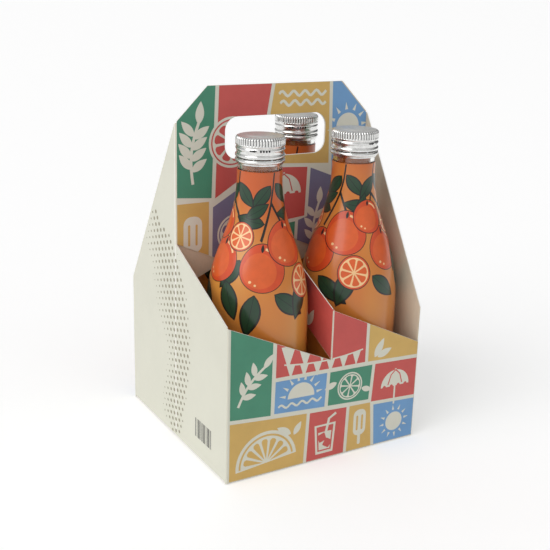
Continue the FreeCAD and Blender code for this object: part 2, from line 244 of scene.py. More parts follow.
def glass_material():
    """Clear glass with the slow ripple of a blown wall."""
    s = Shader("glass")
    s.set(Base_Color=(0.96, 0.98, 0.95, 1.0), Roughness=0.02, IOR=1.5, Transmission_Weight=1.0)
    s.set(Normal=s.bump(s.noise(12.0, 2.0), 0.08))
    return s.material


def drink_material():
    """Cloudy orange drink."""
    s = Shader("drink")
    pulp = s.spread(s.noise(4.0, 4.0), 0.35, 0.7)
    s.set(Base_Color=s.mix(pulp, srgb(196, 104, 38), srgb(168, 78, 24)), Roughness=0.12)
    return s.material


def liner_material():
    """White foamed liner."""
    s = Shader("liner")
    foam = s.noise(0.4, 3.0)
    tone = s.mix(s.spread(foam, 0.4, 0.7), srgb(240, 240, 236), srgb(222, 222, 216))
    s.set(Base_Color=tone, Roughness=0.6)
    s.set(Normal=s.bump(foam, 0.03))
    return s.material


# Flat outlines, as lists of points


def box(x0, y0, x1, y1):
    return [(x0, y0), (x1, y0), (x1, y1), (x0, y1)]


def disc(x, y, r, n=40):
    angles = [2 * math.pi * i / n for i in range(n)]
    return [(x + r * math.cos(a), y + r * math.sin(a)) for a in angles]


def turned(points, angle, x=0.0, y=0.0, size=1.0):
    """Outline drawn about the origin, turned by degrees, scaled, then moved."""
    c = math.cos(math.radians(angle)) * size
    s = math.sin(math.radians(angle)) * size
    return [(x + px * c - py * s, y + px * s + py * c) for px, py in points]


def sector(r0, r1, start, end, n=8):
    """Part of a ring between two angles in degrees."""
    angles = [math.radians(start + (end - start) * i / n) for i in range(n + 1)]
    outer = [(r1 * math.cos(a), r1 * math.sin(a)) for a in angles]
    inner = [(r0 * math.cos(a), r0 * math.sin(a)) for a in reversed(angles)]
    return outer + inner


def segment(r0, r1, middle, spread, n=6):
    """One citrus segment: a wedge with soft outer corners."""
    half = math.radians(spread) / 2
    mid = math.radians(middle)
    points = [(r0 * math.cos(mid), r0 * math.sin(mid))]
    for i in range(n + 1):
        t = -1 + 2 * i / n
        a = mid + half * t * 0.93
        r = r1 * (1 - 0.09 * t ** 4)
        points.append((r * math.cos(a), r * math.sin(a)))
    return points


def leaf(length, width, n=10):
    """Pointed leaf from the origin along +x."""
    side = [(length * i / n, width / 2 * math.sin(math.pi * (i / n) ** 0.85) ** 0.9) for i in range(1, n)]
    return [(0.0, 0.0)] + side + [(length, 0.0)] + [(px, -py) for px, py in reversed(side)]


def stroke(points, width):
    """Band of even width along open points."""
    left, right = [], []
    for i, (x, y) in enumerate(points):
        ax, ay = points[max(i - 1, 0)]
        bx, by = points[min(i + 1, len(points) - 1)]
        length = math.hypot(bx - ax, by - ay)
        nx, ny = -(by - ay) / length * width / 2, (bx - ax) / length * width / 2
        left.append((x + nx, y + ny))
        right.append((x - nx, y - ny))
    return left + right[::-1]


def wave(x0, x1, y, height, period, width, n=28):
    """Wavy band between two x values."""
    xs = [x0 + (x1 - x0) * i / n for i in range(n + 1)]
    return stroke([(x, y + height * math.sin(2 * math.pi * (x - x0) / period)) for x in xs], width)


def rounded(x0, y0, x1, y1, r, n=6):
    """Rectangle with round corners."""
    points = []
    corners = ((x1 - r, y1 - r, 0), (x0 + r, y1 - r, 90), (x0 + r, y0 + r, 180), (x1 - r, y0 + r, 270))
    for cx, cy, start in corners:
        for i in range(n + 1):
            a = math.radians(start + 90 * i / n)
            points.append((cx + r * math.cos(a), cy + r * math.sin(a)))
    return points


def inside(loop, points):
    """Which points lie in a closed outline, by counting crossings."""
    hit = np.zeros(len(points), bool)
    x, y = points[:, 0], points[:, 1]
    for (x0, y0), (x1, y1) in zip(loop, loop[1:] + loop[:1]):
        if y0 == y1:
            continue
        crosses = (y0 > y) != (y1 > y)
        hit ^= crosses & (x < (x1 - x0) * (y - y0) / (y1 - y0) + x0)
    return hit


# Motifs: lists of (outline, ink), painted in order


def slice_motif(x, y, r, paint, ground, segments=8, turn=0.0):
    """Round slice of citrus: rind, pith and segments."""
    shapes = [(disc(x, y, r), paint), (disc(x, y, r * 0.9), ground), (disc(x, y, r * 0.84), paint)]
    for i in range(segments):
        wedge = segment(r * 0.1, r * 0.76, i * 360 / segments, 360 / segments - 7)
        shapes.append((turned(wedge, turn, x, y), ground))
    return shapes


def half_slice(x, y, r, paint, ground, turn=0.0, segments=5):
    """Half slice with its cut edge through x, y."""
    shapes = [
        (turned(sector(0, r, 0, 180, 24), turn, x, y), paint),
        (turned(sector(0, r * 0.9, 3, 177, 24), turn, x, y), ground),
        (turned(sector(0, r * 0.84, 3, 177, 24), turn, x, y), paint),
    ]
    step = 168 / segments
    for i in range(segments):
        wedge = segment(r * 0.12, r * 0.76, 6 + step * (i + 0.5), step - 6)
        shapes.append((turned(wedge, turn, x, y), ground))
    return shapes


def sprig(x, y, length, angle, paint, leaves=3, size=9.0, width=1.2):
    """Stem with paired leaves and one at its tip."""
    bend = [(length * t / 8, length * 0.08 * math.sin(math.pi * t / 8)) for t in range(9)]
    shapes = [(turned(stroke(bend, width), angle, x, y), paint)]
    for i in range(leaves):
        at = length * (0.2 + 0.7 * i / leaves)
        rise = length * 0.08 * math.sin(math.pi * at / length)
        for side in (-1, 1):
            blade = turned(leaf(size, size * 0.42), side * 48, at + (1.5 if side > 0 else 0.0), rise)
            shapes.append((turned(blade, angle, x, y), paint))
    tip = turned(leaf(size * 1.1, size * 0.45), 0, length * 0.96, 0)
    shapes.append((turned(tip, angle, x, y), paint))
    return shapes


def sun_motif(x, y, r, paint, rays=12):
    """Sun disc with tapering rays."""
    shapes = [(disc(x, y, r), paint)]
    for i in range(rays):
        ray = [(r * 1.25, -r * 0.13), (r * 1.8, 0.0), (r * 1.25, r * 0.13)]
        shapes.append((turned(ray, i * 360 / rays + 7, x, y), paint))
    return shapes


def tumbler(x, y, width, height, paint, ground):
    """Straight glass with a straw, ice and a level line."""
    taper = width * 0.12
    body = [(0.0, 0.0), (width, 0.0), (width + taper, height), (-taper, height)]
    brim = width + taper * 0.8 - 1.2
    inner = [(1.3, 1.6), (width - 1.3, 1.6), (brim, height - 1.2), (1.2 - taper * 0.8, height - 1.2)]
    level = height * 0.74
    drink = [(2.2, 2.5), (width - 2.2, 2.5), (width + taper * 0.6 - 2.2, level), (2.2 - taper * 0.6, level)]
    bends = [(width * 0.42, height * 0.3), (width * 0.72, height * 1.16), (width * 1.12, height * 1.3)]
    straw = stroke(bends, 1.7)
    cube = rounded(-2.6, -2.6, 2.6, 2.6, 0.8, 3)
    shapes = [(body, paint), (inner, ground), (drink, paint), (straw, paint)]
    shapes += [(turned(cube, 18, width * 0.34, height * 0.55), ground)]
    shapes += [(turned(cube, 58, width * 0.66, height * 0.34), ground)]
    return [(turned(points, 0, x, y), colour) for points, colour in shapes]


def lolly(x, y, width, height, paint, ground):
    """Ice lolly on a stick."""
    shapes = [(rounded(width * 0.38, -height * 0.36, width * 0.62, 2.0, width * 0.1, 4), paint)]
    shapes += [(rounded(0, 0, width, height, width * 0.42), paint)]
    for share in (0.3, 0.7):
        groove = rounded(width * share - 0.7, height * 0.2, width * share + 0.7, height * 0.78, 0.7, 3)
        shapes.append((groove, ground))
    return [(turned(points, 0, x, y), colour) for points, colour in shapes]


def bunting(x, y, width, flags, size, paint):
    """Row of pennants on a sagging string."""
    def sag(t):
        return y - 4 * size * 0.28 * t * (1 - t)
    line = [(x + width * i / 16, sag(i / 16)) for i in range(17)]
    shapes = [(stroke(line, 0.9), paint)]
    for i in range(flags):
        t = (i + 0.5) / flags
        middle = x + width * t
        half = size * 0.34
        shapes.append(([(middle - half, sag(t)), (middle, sag(t) - size), (middle + half, sag(t))], paint))
    return shapes


def parasol(x, y, r, paint, ground):
    """Beach parasol seen from the side."""
    shapes = [(box(x - 0.6, y - r * 1.15, x + 0.6, y + r * 1.08), paint)]
    shapes += [(turned(sector(0, r, 0, 180, 24), 0, x, y), paint)]
    for i in range(4):
        shapes.append((turned(sector(0, r / 8.6, 0, 180, 6), 0, x - r + r / 4 * (2 * i + 1), y), ground))
    for share in (-0.5, 0.5):
        rib = [(0.0, r), (share * r * 0.62, r * 0.72), (share * r, r * 0.12)]
        shapes.append((turned(stroke(rib, 0.8), 0, x, y), ground))
    return shapes


# Laying print on a surface


def lay(name, place, outline, fields, inks, holes=(), cuts=(), smooth=False):
    """Mesh of the coloured fields inside an outline; the last field over a spot gives its ink.

    place turns flat points into positions and normals, cuts are lines that the surface bends along.
    """
    points, edges = [], []
    for loop in [outline, *holes] + [shape for shape, paint in fields]:
        first = len(points)
        points += loop
        edges += [(first + i, first + (i + 1) % len(loop)) for i in range(len(loop))]
    for line in cuts:
        edges.append((len(points), len(points) + 1))
        points += line
    flat, _, faces, _, _, _ = delaunay_2d_cdt([Vector(p) for p in points], edges, [], 0, 1e-5)
    flat = np.array([tuple(v) for v in flat])
    faces = np.array([f for f in faces if len(f) == 3])
    middle = flat[faces].mean(axis=1)
    colour = np.full(len(faces), -1)
    names = sorted({paint for _, paint in fields})
    for shape, paint in fields:
        colour[inside(list(shape), middle)] = names.index(paint)
    shown = inside(list(outline), middle) & (colour >= 0)
    for hole in holes:
        shown &= ~inside(list(hole), middle)
    faces, colour = faces[shown], colour[shown]
    used, faces = np.unique(faces, return_inverse=True)
    faces = faces.reshape(-1, 3)
    position, normal = place(flat[used])
    a, b, c = (position[faces[:, i]] for i in range(3))
    back = np.einsum("ij,ij->i", np.cross(b - a, c - a), normal[faces[:, 0]]) < 0
    faces[back] = faces[back][:, ::-1]
    mesh = bpy.data.meshes.new(name)
    mesh.from_pydata((position * MM).tolist(), [], faces.tolist())
    for paint in names:
        mesh.materials.append(inks[paint])
    mesh.polygons.foreach_set("material_index", colour.astype(np.int32))
    mesh.polygons.foreach_set("use_smooth", np.full(len(faces), smooth))
    if smooth:
        mesh.normals_split_custom_set_from_vertices(normal.tolist())
    mesh.update()
    return mesh


def show(name, mesh, body="carrier", move=None):
    """Object from a mesh, riding on a CAD body; a move goes into a copy of the mesh."""
    if move is not None:
        mesh = mesh.copy()
        mesh.transform(move)
    made = bpy.data.objects.new(name, mesh)
    bpy.context.scene.collection.objects.link(made)
    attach(made, body)
    return made


def plane(origin, across, out):
    """Flat upright panel: x runs along a direction, y is the height."""
    def place(flat):
        base = np.array(origin) + flat[:, :1] * np.array(across) + flat[:, 1:] * np.array((0.0, 0.0, 1.0))
        normal = np.tile(np.array(out, float), (len(flat), 1))
        return base + normal * PROUD, normal
    return place


def track(knots):
    """Panel that bends: knots are (distance, x, y, normal angle) in plan; y of the flat is the height."""
    s, x, y, turn = np.array(sorted(knots)).T

    def place(flat):
        along = flat[:, 0]
        angle = np.radians(np.interp(along, s, turn))
        normal = np.stack([np.cos(angle), np.sin(angle), np.zeros(len(flat))], 1)
        base = np.stack([np.interp(along, s, x), np.interp(along, s, y), flat[:, 1]], 1)
        return base + normal * PROUD, normal
    return place


def profile_radius(z):
    """Sleeve's outer radius at a height above the floor."""
    t = np.linspace(0, 1, 200)
    r = BODY_R * ((1 - t) ** 3 + 3 * (1 - t) ** 2 * t) + NECK_R * (3 * (1 - t) * t ** 2 + t ** 3)
    h = BODY_Z * (1 - t) ** 3 + 3 * (BODY_Z + BODY_PULL) * (1 - t) ** 2 * t
    h += 3 * (NECK_Z - NECK_PULL) * (1 - t) * t ** 2 + NECK_Z * t ** 3
    return np.interp(z, h + FOOT, r)


def on_bottle(flat):
    """Sleeve: x is the distance round the body, y the height above the floor."""
    angle = flat[:, 0] / BODY_R
    height = flat[:, 1]
    radius = profile_radius(height) + PROUD
    slope = (profile_radius(height + 0.5) - profile_radius(height - 0.5))
    normal = np.stack([np.cos(angle), np.sin(angle), -slope], 1)
    normal /= np.linalg.norm(normal, axis=1, keepdims=True)
    return np.stack([radius * np.cos(angle), radius * np.sin(angle), height], 1), normal


def on_bead(flat):
    """Upper bead of the cap: x is the distance round it, y the height above the bead's foot."""
    radius = WAIST_R + BEAD_SWELL
    angle = flat[:, 0] / radius
    half = BEAD_HEIGHT / 2
    arc = (half ** 2 + BEAD_SWELL ** 2) / (2 * BEAD_SWELL)
    rise = flat[:, 1] - half
    reach = radius - arc + np.sqrt(arc ** 2 - rise ** 2) + 0.07
    normal = np.stack([np.cos(angle), np.sin(angle), rise / arc], 1)
    normal /= np.linalg.norm(normal, axis=1, keepdims=True)
    height = BEAD_TOP - BEAD_HEIGHT + FOOT + flat[:, 1]
    return np.stack([reach * np.cos(angle), reach * np.sin(angle), height], 1), normal


# Prints


def front_print(inks):
    """Colour blocks and motifs of the front panel."""
    shapes = [
        ([(-64, 39), (-38, 36.6), (-37, 120), (-64, 120)], "green"),
        ([(-64, 1), (-15, 1), (-13.6, 32.6), (-38, 34.4), (-64, 36.6)], "ochre"),
        ([(-35.2, 59), (26, 57.4), (26, 120), (-34.6, 120)], "red"),
        ([(-35.6, 37), (-1.6, 34.4), (-0.6, 55.6), (-35.2, 56.6)], "blue"),
        ([(-12.8, 1), (13.4, 1), (14.4, 30.6), (-11.4, 32.2)], "red"),
        ([(0.8, 34.4), (30, 32.4), (31.6, 54.6), (1.6, 55.4)], "green"),
        ([(28.2, 57.2), (66, 55.4), (66, 120), (28.2, 120)], "ochre"),
        ([(32.2, 30.4), (66, 28.4), (66, 53), (33.8, 54.6)], "red"),
        ([(15.6, 1), (33.8, 1), (31.6, 30), (16.6, 30.6)], "ochre"),
        ([(36, 1), (66, 1), (66, 26.2), (34.2, 28)], "blue"),
    ]
    cream = "cream"
    shapes += sprig(-59, 46, 27, 52, cream, 3, 9, 1.6)
    shapes += half_slice(-40, 7.5, 20, cream, "ochre", 6, 7)
    shapes += [(turned(leaf(11, 4.6), 148, -24, 22), cream), (turned(leaf(9, 4), 58, -22, 21), cream)]
    shapes += bunting(-33, 79, 34, 3, 14, cream)
    shapes += bunting(-30, 66, 54, 6, 8.5, cream)
    shapes += [(turned(sector(0, 9, 0, 180, 20), -2, -18, 44), cream)]
    ray = [(10.6, -0.9), (15, 0.0), (10.6, 0.9)]
    shapes += [(turned(ray, a, -18, 44), cream) for a in range(8, 180, 23)]
    shapes += [(wave(-33, -4, 40.4, 1.1, 7, 1.3), cream)]
    shapes += tumbler(-6.4, 4, 12, 19, cream, "red")
    shapes += slice_motif(16, 44, 8.8, cream, "green", 8, 12)
    shapes += [(turned(leaf(9, 4), 200, 6.5, 48), cream), (turned(leaf(8, 3.6), -18, 24.5, 41), cream)]
    shapes += [(turned(leaf(13, 5), 62, 33, 59), cream), (turned(leaf(11, 4.6), 22, 35, 59), cream)]
    shapes += parasol(49.5, 37.5, 10.5, cream, "red")
    shapes += lolly(20, 10, 9, 17, cream, "ochre")
    shapes += sun_motif(50.5, 13.5, 6.2, cream)
    low, gap = BEND, 0.12
    slope = RISE / (HALF_W + STRAP_X)
    right = HALF_W - BEND
    outline = [
        (-right, low), (right, low), (right, LOW + slope * BEND - gap),
        (STRAP_X + BEND, MID - slope * BEND - gap), (STRAP_X + BEND, LOW - gap), (STRAP_X, LOW - gap),
        (-right, MID - slope * BEND - gap),
    ]
    return lay("front_print", plane((0, -HALF_D, 0), (1, 0, 0), (0, -1, 0)), outline, shapes, inks)


def strap_print(inks):
    """The red block's end, round the crease and back along the strap."""
    centre = (STRAP_X + BEND, -HALF_D + BEND)
    start = STRAP_X + BEND
    turn = BEND * math.pi / 2
    length = HALF_D - BEND - BOARD - CREASE
    knots = []
    for i in range(5):
        angle = 270 - 90 * i / 4
        a = math.radians(angle)
        x, y = centre[0] + BEND * math.cos(a), centre[1] + BEND * math.sin(a)
        knots.append((start - turn * i / 4, x, y, angle))
    end = start - turn - length
    knots.append((end, STRAP_X, centre[1] + length, 180.0))
    slope = RISE / HALF_D
    gap = 0.12
    low = [(start, LOW + gap), (end, LOW + gap + slope * length)]
    high = [(end, MID - gap + slope * length), (start, MID - gap)]
    shapes = [(box(-31.6, 40, 22, 140), "red"), (box(-70, 40, -34, 140), "slate")]
    shapes += [(turned(leaf(13, 5), 62, -24, 76), "cream"), (turned(leaf(11, 4.6), 105, -24, 76), "cream")]
    cuts = [((k[0], 40.0), (k[0], 140.0)) for k in knots[1:-1]]
    return lay("strap_print", track(knots), low + high, shapes, inks, cuts=cuts)


def handle_print(inks):
    """Colour blocks and motifs of the handle's front."""
    shapes = [
        ([(-66, 151), (-43, 149), (-41, 214), (-66, 214)], "green"),
        ([(-40.6, 148.6), (-12, 166), (-4, 214), (-38.6, 214)], "red"),
        (box(-66, 96, -44.6, 147), "ochre"),
        ([(-42.4, 96), (-12, 96), (-12.8, 160), (-42, 143.4)], "slate"),
        ([(-9.6, 167), (38, 164), (36.4, 214), (-1.6, 214)], "ochre"),
        ([(40.4, 158), (66, 155), (66, 214), (38.8, 214)], "blue"),
        ([(-10, 129), (21.6, 132), (22.6, 162.6), (-10.4, 164.6)], "red"),
        ([(-9.6, 96), (14, 96), (15, 129), (-9.8, 126.6)], "green"),
        ([(16.4, 96), (44, 96), (42, 155.4), (25, 162), (23.8, 131.4), (17.2, 129.6)], "slate"),
        ([(46.4, 96), (66, 96), (66, 152.6), (44.4, 155)], "ochre"),
    ]
    cream = "cream"
    shapes += sprig(-55, 158, 36, 84, cream, 4, 12, 1.8)
    shapes += slice_motif(-30, 181, 15, cream, "red", 9, 8)
    shapes += lolly(-61, 117, 12, 22, cream, "ochre")
    shapes += slice_motif(-27, 126, 12, cream, "slate", 8, 20)
    shapes += [(wave(2, 34, 202, 1.5, 8, 1.7), cream), (wave(1, 34, 207.6, 1.5, 8, 1.7), cream)]
    shapes += sun_motif(51, 186, 8.4, cream)
    shapes += parasol(6, 147, 12.5, cream, "red")
    shapes += half_slice(2.6, 104, 9.5, cream, "green", 25)
    shapes += sprig(30, 108, 32, 86, cream, 3, 10, 1.6)
    shapes += tumbler(49.4, 116, 11, 20, cream, "ochre")
    gap = 0.12
    slope = RISE / (HALF_W + STRAP_X)
    left = -HALF_W + BEND
    outline = [
        (left, HINGE - slope + gap), (STRAP_X - 1.0, MID + gap + slope), (STRAP_X - 1.0, HINGE - gap),
        (HANDLE_END - gap, MID + 2.6), (HANDLE_END - gap, TOP - BEVEL), (HANDLE_END - BEVEL, TOP - gap),
        (-HALF_W + BEVEL, TOP - gap), (left, TOP - BEVEL + BEND - gap),
    ]
    hole = rounded(HOLE[0] - gap, HOLE[1] - gap, HOLE[2] + gap, HOLE[3] + gap, HOLE_R + gap, 8)
    place = plane((0, -BOARD, 0), (1, 0, 0), (0, -1, 0))
    return lay("handle_print", place, outline, shapes, inks, holes=[hole])


def side_dots(inks):
    """Halftone band that winds down the side wall; x of the flat is -Y."""
    left_edge = (
        (2, -8), (10, -21), (27, -21), (46, -13), (61, -17), (73, -28), (88, -32), (105, -39), (116, -47),
        (126, -41), (138, -33),
    )
    right_edge = (
        (2, 4), (8, 9), (26, 14), (43, 18), (60, 22), (74, 21), (88, 18), (102, 14), (117, 5), (126, -4),
        (131, -19), (138, -28),
    )
    shapes = []
    for row in range(-15, 50):
        for column in range(-36, 38):
            u = 4.75 * column + 2.4 * row
            z = 4.0 + 1.36 * column + 4.6 * row
            left = np.interp(z, *zip(*left_edge))
            right = np.interp(z, *zip(*right_edge))
            share = (u - left) / (right - left)
            if 0.0 < share < 1.0 and left_edge[0][0] < z < left_edge[-1][0]:
                size = 1.2 * min(1.0, share / 0.45) ** 0.6 * min(1.0, (1.0 - share) / 0.12) ** 0.5
                if size > 0.3:
                    shapes.append((disc(u, z, size, 12), "tan"))
    slope = (TOP - BEVEL - BACK_CORNER) / HALF_D
    outline = [
        (-HALF_D + 1.2, 1.2), (HALF_D - 1.2, 1.2), (HALF_D - 1.2, MID - 0.5), (0.6, HINGE - 1.0),
        (-0.8, HINGE - 1.0), (-0.8, TOP - BEVEL - 2.0), (-HALF_D + 1.2, BACK_CORNER + slope * 1.2 - 0.6),
    ]
    place = plane((-HALF_W, 0, 0), (0, -1, 0), (-1, 0, 0))
    return lay("side_dots", place, outline, shapes, inks)


def barcode(inks):
    """Plain bars near the side wall's foot, with no digits."""
    shapes = [(box(26.0, 12.0, 48.8, 26.0), "cream")]
    widths = (
        2, 1, 1, 3, 1, 2, 2, 1, 3, 1, 1, 1, 2, 3, 1, 1, 2, 1, 1, 2, 3, 1, 2, 1, 1, 3, 1, 2, 1, 1, 2, 1, 3, 1,
        1, 2, 2, 1, 1,
    )
    unit = 20.6 / sum(widths)
    at = 27.2
    for i, width in enumerate(widths):
        if i % 2 == 0:
            shapes.append((box(at, 13.0, at + width * unit, 25.0), "black"))
        at += width * unit
    place = plane((-HALF_W, 0, 0), (0, -1, 0), (-1, 0, 0))
    return lay("barcode", place, box(25.0, 11.0, 50.0, 27.0), shapes, inks)


def sleeve_print(inks):
    """Oranges, slices and leaves on dark branches round the upper half of the sleeve, twice over."""
    period = math.pi * BODY_R
    shapes = []

    def put(items, s, z):
        grow = BODY_R / float(profile_radius(z))
        for points, paint in items:
            shapes.append(([(s + px * grow, z + py) for px, py in points], paint))

    def fruit(r):
        glint = [(r * 0.78 * math.cos(a), r * 0.78 * math.sin(a)) for a in np.linspace(0.5, 1.35, 8)]
        return [
            (disc(0, 0, r, 40), "black"), (disc(0, 0, r - 0.42, 40), "fruit"),
            (disc(-r * 0.12, -r * 0.1, r * 0.72, 36), "glow"),
            (stroke(glint, r * 0.1), "shine"), (disc(-r * 0.5, -r * 0.55, r * 0.06, 10), "shine"),
            (disc(-r * 0.3, -r * 0.68, r * 0.05, 10), "shine"),
            (turned(leaf(r * 0.34, r * 0.16), 80, 0, r * 0.62), "black"),
        ]

    def cut_fruit(r):
        shape = [(disc(0, 0, r, 40), "black"), (disc(0, 0, r - 0.42, 40), "fruit")]
        shape += [(disc(0, 0, r * 0.86, 36), "shine")]
        return shape + [(segment(r * 0.1, r * 0.78, i * 45 + 10, 38), "glow") for i in range(8)]

    def blade(length, angle):
        outer = turned(leaf(length, length * 0.46), angle)
        a = math.radians(angle)
        inner = turned(leaf(length * 0.9, length * 0.37), angle, 0.7 * math.cos(a), 0.7 * math.sin(a))
        rib = turned(stroke([(1.0, 0.0), (length * 0.8, 0.0)], 0.4), angle)
        return [(outer, "black"), (inner, "leaf"), (rib, "vein")]

    branches = (
        ((34, 171), (32, 162), (28, 153), (20, 141), (16, 134)),
        ((29, 154), (36, 147), (42, 140)),
        ((78, 171), (75, 162), (70, 153), (66, 144)),
        ((71, 154), (82, 148), (90, 141)),
    )
    leaves = (
        (29, 164, 17, -128), (35, 165, 17, -50), (20, 143, 18, 170), (12, 106, 25, -100), (24, 106, 24, -38),
        (46, 112, 24, -108), (60, 108, 22, -42), (76, 164, 17, -125), (77, 165, 17, -52), (66, 146, 17, 172),
        (86, 112, 23, -70), (93, 146, 16, 30), (52, 140, 16, 70), (1, 124, 20, -120),
    )
    for i in range(2):
        at = i * period
        for stem in branches:
            shapes.append((stroke([(at + s, z) for s, z in stem], 2.2), "black"))
        for s, z, length, angle in leaves:
            put(blade(length, angle), at + s, z)
        put(cut_fruit(10.0), at + 48, 110)
        put(fruit(13.2), at + 17, 120)
        put(fruit(12.6), at + 40, 132)
        put(fruit(12.8), at + 76, 122)
        put(fruit(9.6), at + 63, 141)
        put(cut_fruit(8.0), at + 91, 136)
    top, foot = FOOT + SLEEVE[1], FOOT + SLEEVE[0]
    outline = box(0, foot + 0.3, 2 * period, top - 0.3)
    wrapped = []
    for points, paint in shapes:
        xs = [p[0] for p in points]
        for shift in (-2 * period, 0.0, 2 * period):
            if min(xs) + shift < 2 * period and max(xs) + shift > 0:
                wrapped.append(([(x + shift, y) for x, y in points], paint))
    cuts = [((2 * period * i / 96, foot), (2 * period * i / 96, top)) for i in range(97)]
    cuts += [((0.0, z), (2 * period, z)) for z in np.arange(BODY_Z, NECK_Z + 3, 3.0)]
    fields = [(outline, "gold")] + wrapped
    return lay("sleeve_print", on_bottle, outline, fields, inks, cuts=cuts, smooth=True)


def cap_arrows(inks):
    """Arrows and bars printed round the cap's upper bead, showing which way it opens."""
    turn = 2 * math.pi * (WAIST_R + BEAD_SWELL)
    shapes = []
    for i in range(3):
        at = turn * i / 3
        head = [(at + 2.8, 0.2), (at + 4.8, 0.95), (at + 2.8, 1.7)]
        shapes += [(box(at + 0.4, 0.5, at + 3.0, 1.4), "black"), (head, "black")]
        shapes += [(box(at + 6.2 + 1.6 * k, 0.35, at + 7.2 + 1.6 * k, 1.55), "black") for k in range(4)]
    outline = box(0, 0.1, turn, BEAD_HEIGHT - 0.1)
    cuts = [((turn * i / 72, 0.1), (turn * i / 72, 1.8)) for i in range(73)]
    cuts += [((0.0, h), (turn, h)) for h in (0.5, 0.95, 1.4)]
    return lay("cap_arrows", on_bead, outline, shapes, inks, cuts=cuts, smooth=True)


# Cap


def bead(low, high, swell, rows=9):
    """Profile points of a round bead that stands out of the cap's waist."""
    half = (high - low) / 2
    arc = (half ** 2 + swell ** 2) / (2 * swell)
    rises = np.linspace(-half, half, rows)
    return [(WAIST_R + swell - arc + math.sqrt(arc ** 2 - h ** 2), (low + high) / 2 + h) for h in rises]


def cap_shell(metals):
    """Roll-on cap: beaded skirt, flutes that run out over the round rim, and a raised panel, with painted
    shade in the flute valleys.
    """
    foot, rim, panel, ceiling = 178.1, 189.9, 190.5, 189.35
    crest, rim_round, flute_foot = 13.9, 1.8, 185.3
    depth, samples = 0.4, 8
    outer = [(r, z, 0.0, 0.0) for r, z in bead(foot, foot + 2.4, 0.75)]
    outer += [(r, z, 0.0, 0.0) for r, z in bead(foot + 3.9, foot + 5.8, BEAD_SWELL)]
    outer += [(WAIST_R, 184.3, 0.0, 0.0), (crest - 0.1, 184.75, 0.0, 0.0), (crest, 184.9, 0.0, 0.0)]
    for rise, share in ((0.0, 0.0), (0.25, 0.7), (0.6, 1.0), (1.4, 1.0), (2.2, 1.0)):
        outer.append((crest, flute_foot + rise, share, 0.0))
    for i in range(11):
        angle = math.radians(9 * i)
        share = min(1.0, (80 - 9 * i) / 35) if i < 9 else 0.0
        reach = crest - rim_round + rim_round * math.cos(angle)
        outer.append((reach, rim - rim_round + rim_round * math.sin(angle), share, angle))
    top = [(9.8, rim), (9.4, rim + 0.12), (8.6, panel - 0.1), (8.2, panel), (3.0, panel)]
    bore = [(3.0, ceiling), (12.85, ceiling), (13.0, ceiling - 0.2), (13.0, foot)]
    outer += [(r, z, 0.0, 0.0) for r, z in top]
    profile = outer + [(r, z, 0.0, 0.0) for r, z in bore]
    columns = CAP_FLUTES * samples
    turn = np.arange(columns) * 2 * math.pi / columns
    across = (np.arange(columns) % samples) / samples - 0.5
    groove = np.where(abs(across) < 0.3, np.cos(math.pi * across / 0.6), 0.0)
    points = []
    for r, z, share, tilt in profile:
        cut = depth * share * groove
        reach = r - cut * math.cos(tilt)
        rise = z - cut * math.sin(tilt)
        points += np.stack([reach * np.cos(turn), reach * np.sin(turn), rise], 1).tolist()
    faces, paint = [], []
    for row in range(len(profile)):
        after = (row + 1) % len(profile)
        if row == len(outer) - 1:
            continue
        share = min(profile[row][2], profile[after][2])
        r, z = profile[row][:2]
        flat = row < len(outer) and z > flute_foot and r <= crest - rim_round + 0.3
        for j in range(columns):
            k = (j + 1) % columns
            faces.append((row * columns + j, row * columns + k, after * columns + k, after * columns + j))
            # Faces deep in a flute take the third metal, a dark grey that paints the valley's shade and dark
            # reflection.
            shaded_flute = share > 0.3 and min(groove[j], groove[k]) > 0.4
            paint.append(2 if shaded_flute else 1 if flat else 0)
    for row, height, slot in ((len(outer) - 1, panel, 1), (len(outer), ceiling, 0)):
        centre = len(points)
        points.append((0.0, 0.0, height))
        for j in range(columns):
            k = (j + 1) % columns
            edge = (row * columns + j, row * columns + k)
            faces.append((*edge, centre) if slot else (*edge[::-1], centre))
            paint.append(slot)
    mesh = bpy.data.meshes.new("cap_shell")
    mesh.from_pydata((np.array(points) * MM).tolist(), [], faces)
    for metal in metals:
        mesh.materials.append(metal)
    mesh.polygons.foreach_set("material_index", np.array(paint, np.int32))
    mesh.polygons.foreach_set("use_smooth", np.full(len(faces), True))
    mesh.set_sharp_from_angle(angle=math.radians(50))
    mesh.update()
    return mesh


# Scene


def camera():
    """Camera fitted to the photograph: front left and a little above."""
    azimuth, elevation, roll = (math.radians(v) for v in (-30.834, 17.531, 1.621))
    level = math.cos(elevation)
    back = Vector((math.sin(azimuth) * level, -math.cos(azimuth) * level, math.sin(elevation)))
    right = (-back).cross(Vector((0, 0, 1))).normalized()
    up = right.cross(-back)
    across = right * math.cos(roll) + up * math.sin(roll)
    rise = up * math.cos(roll) - right * math.sin(roll)
    made = bpy.data.objects.new("camera", bpy.data.cameras.new("camera"))
    made.data.lens = 62.03
    made.data.sensor_width = 36.0
    made.data.clip_start = 0.02
    made.data.clip_end = 30.0
    made.matrix_world = Matrix((
        (across.x, rise.x, back.x, -0.2873),
        (across.y, rise.y, back.y, -0.4847),
        (across.z, rise.z, back.z, 0.2739),
        (0, 0, 0, 1),
    ))
    bpy.context.scene.collection.objects.link(made)
    bpy.context.scene.camera = made


def sun_lamp(name, towards, width, strength, colour=(1.0, 1.0, 1.0)):
    """Far soft lamp that shines along a direction, as wide in the sky as the given angle in degrees."""
    lamp = bpy.data.lights.new(name, "SUN")
    lamp.angle = math.radians(width)
    lamp.energy = strength
    lamp.color = colour
    made = bpy.data.objects.new(name, lamp)
    made.rotation_mode = "QUATERNION"
    made.rotation_quaternion = Vector(towards).to_track_quat("-Z", "Y")
    bpy.context.scene.collection.objects.link(made)


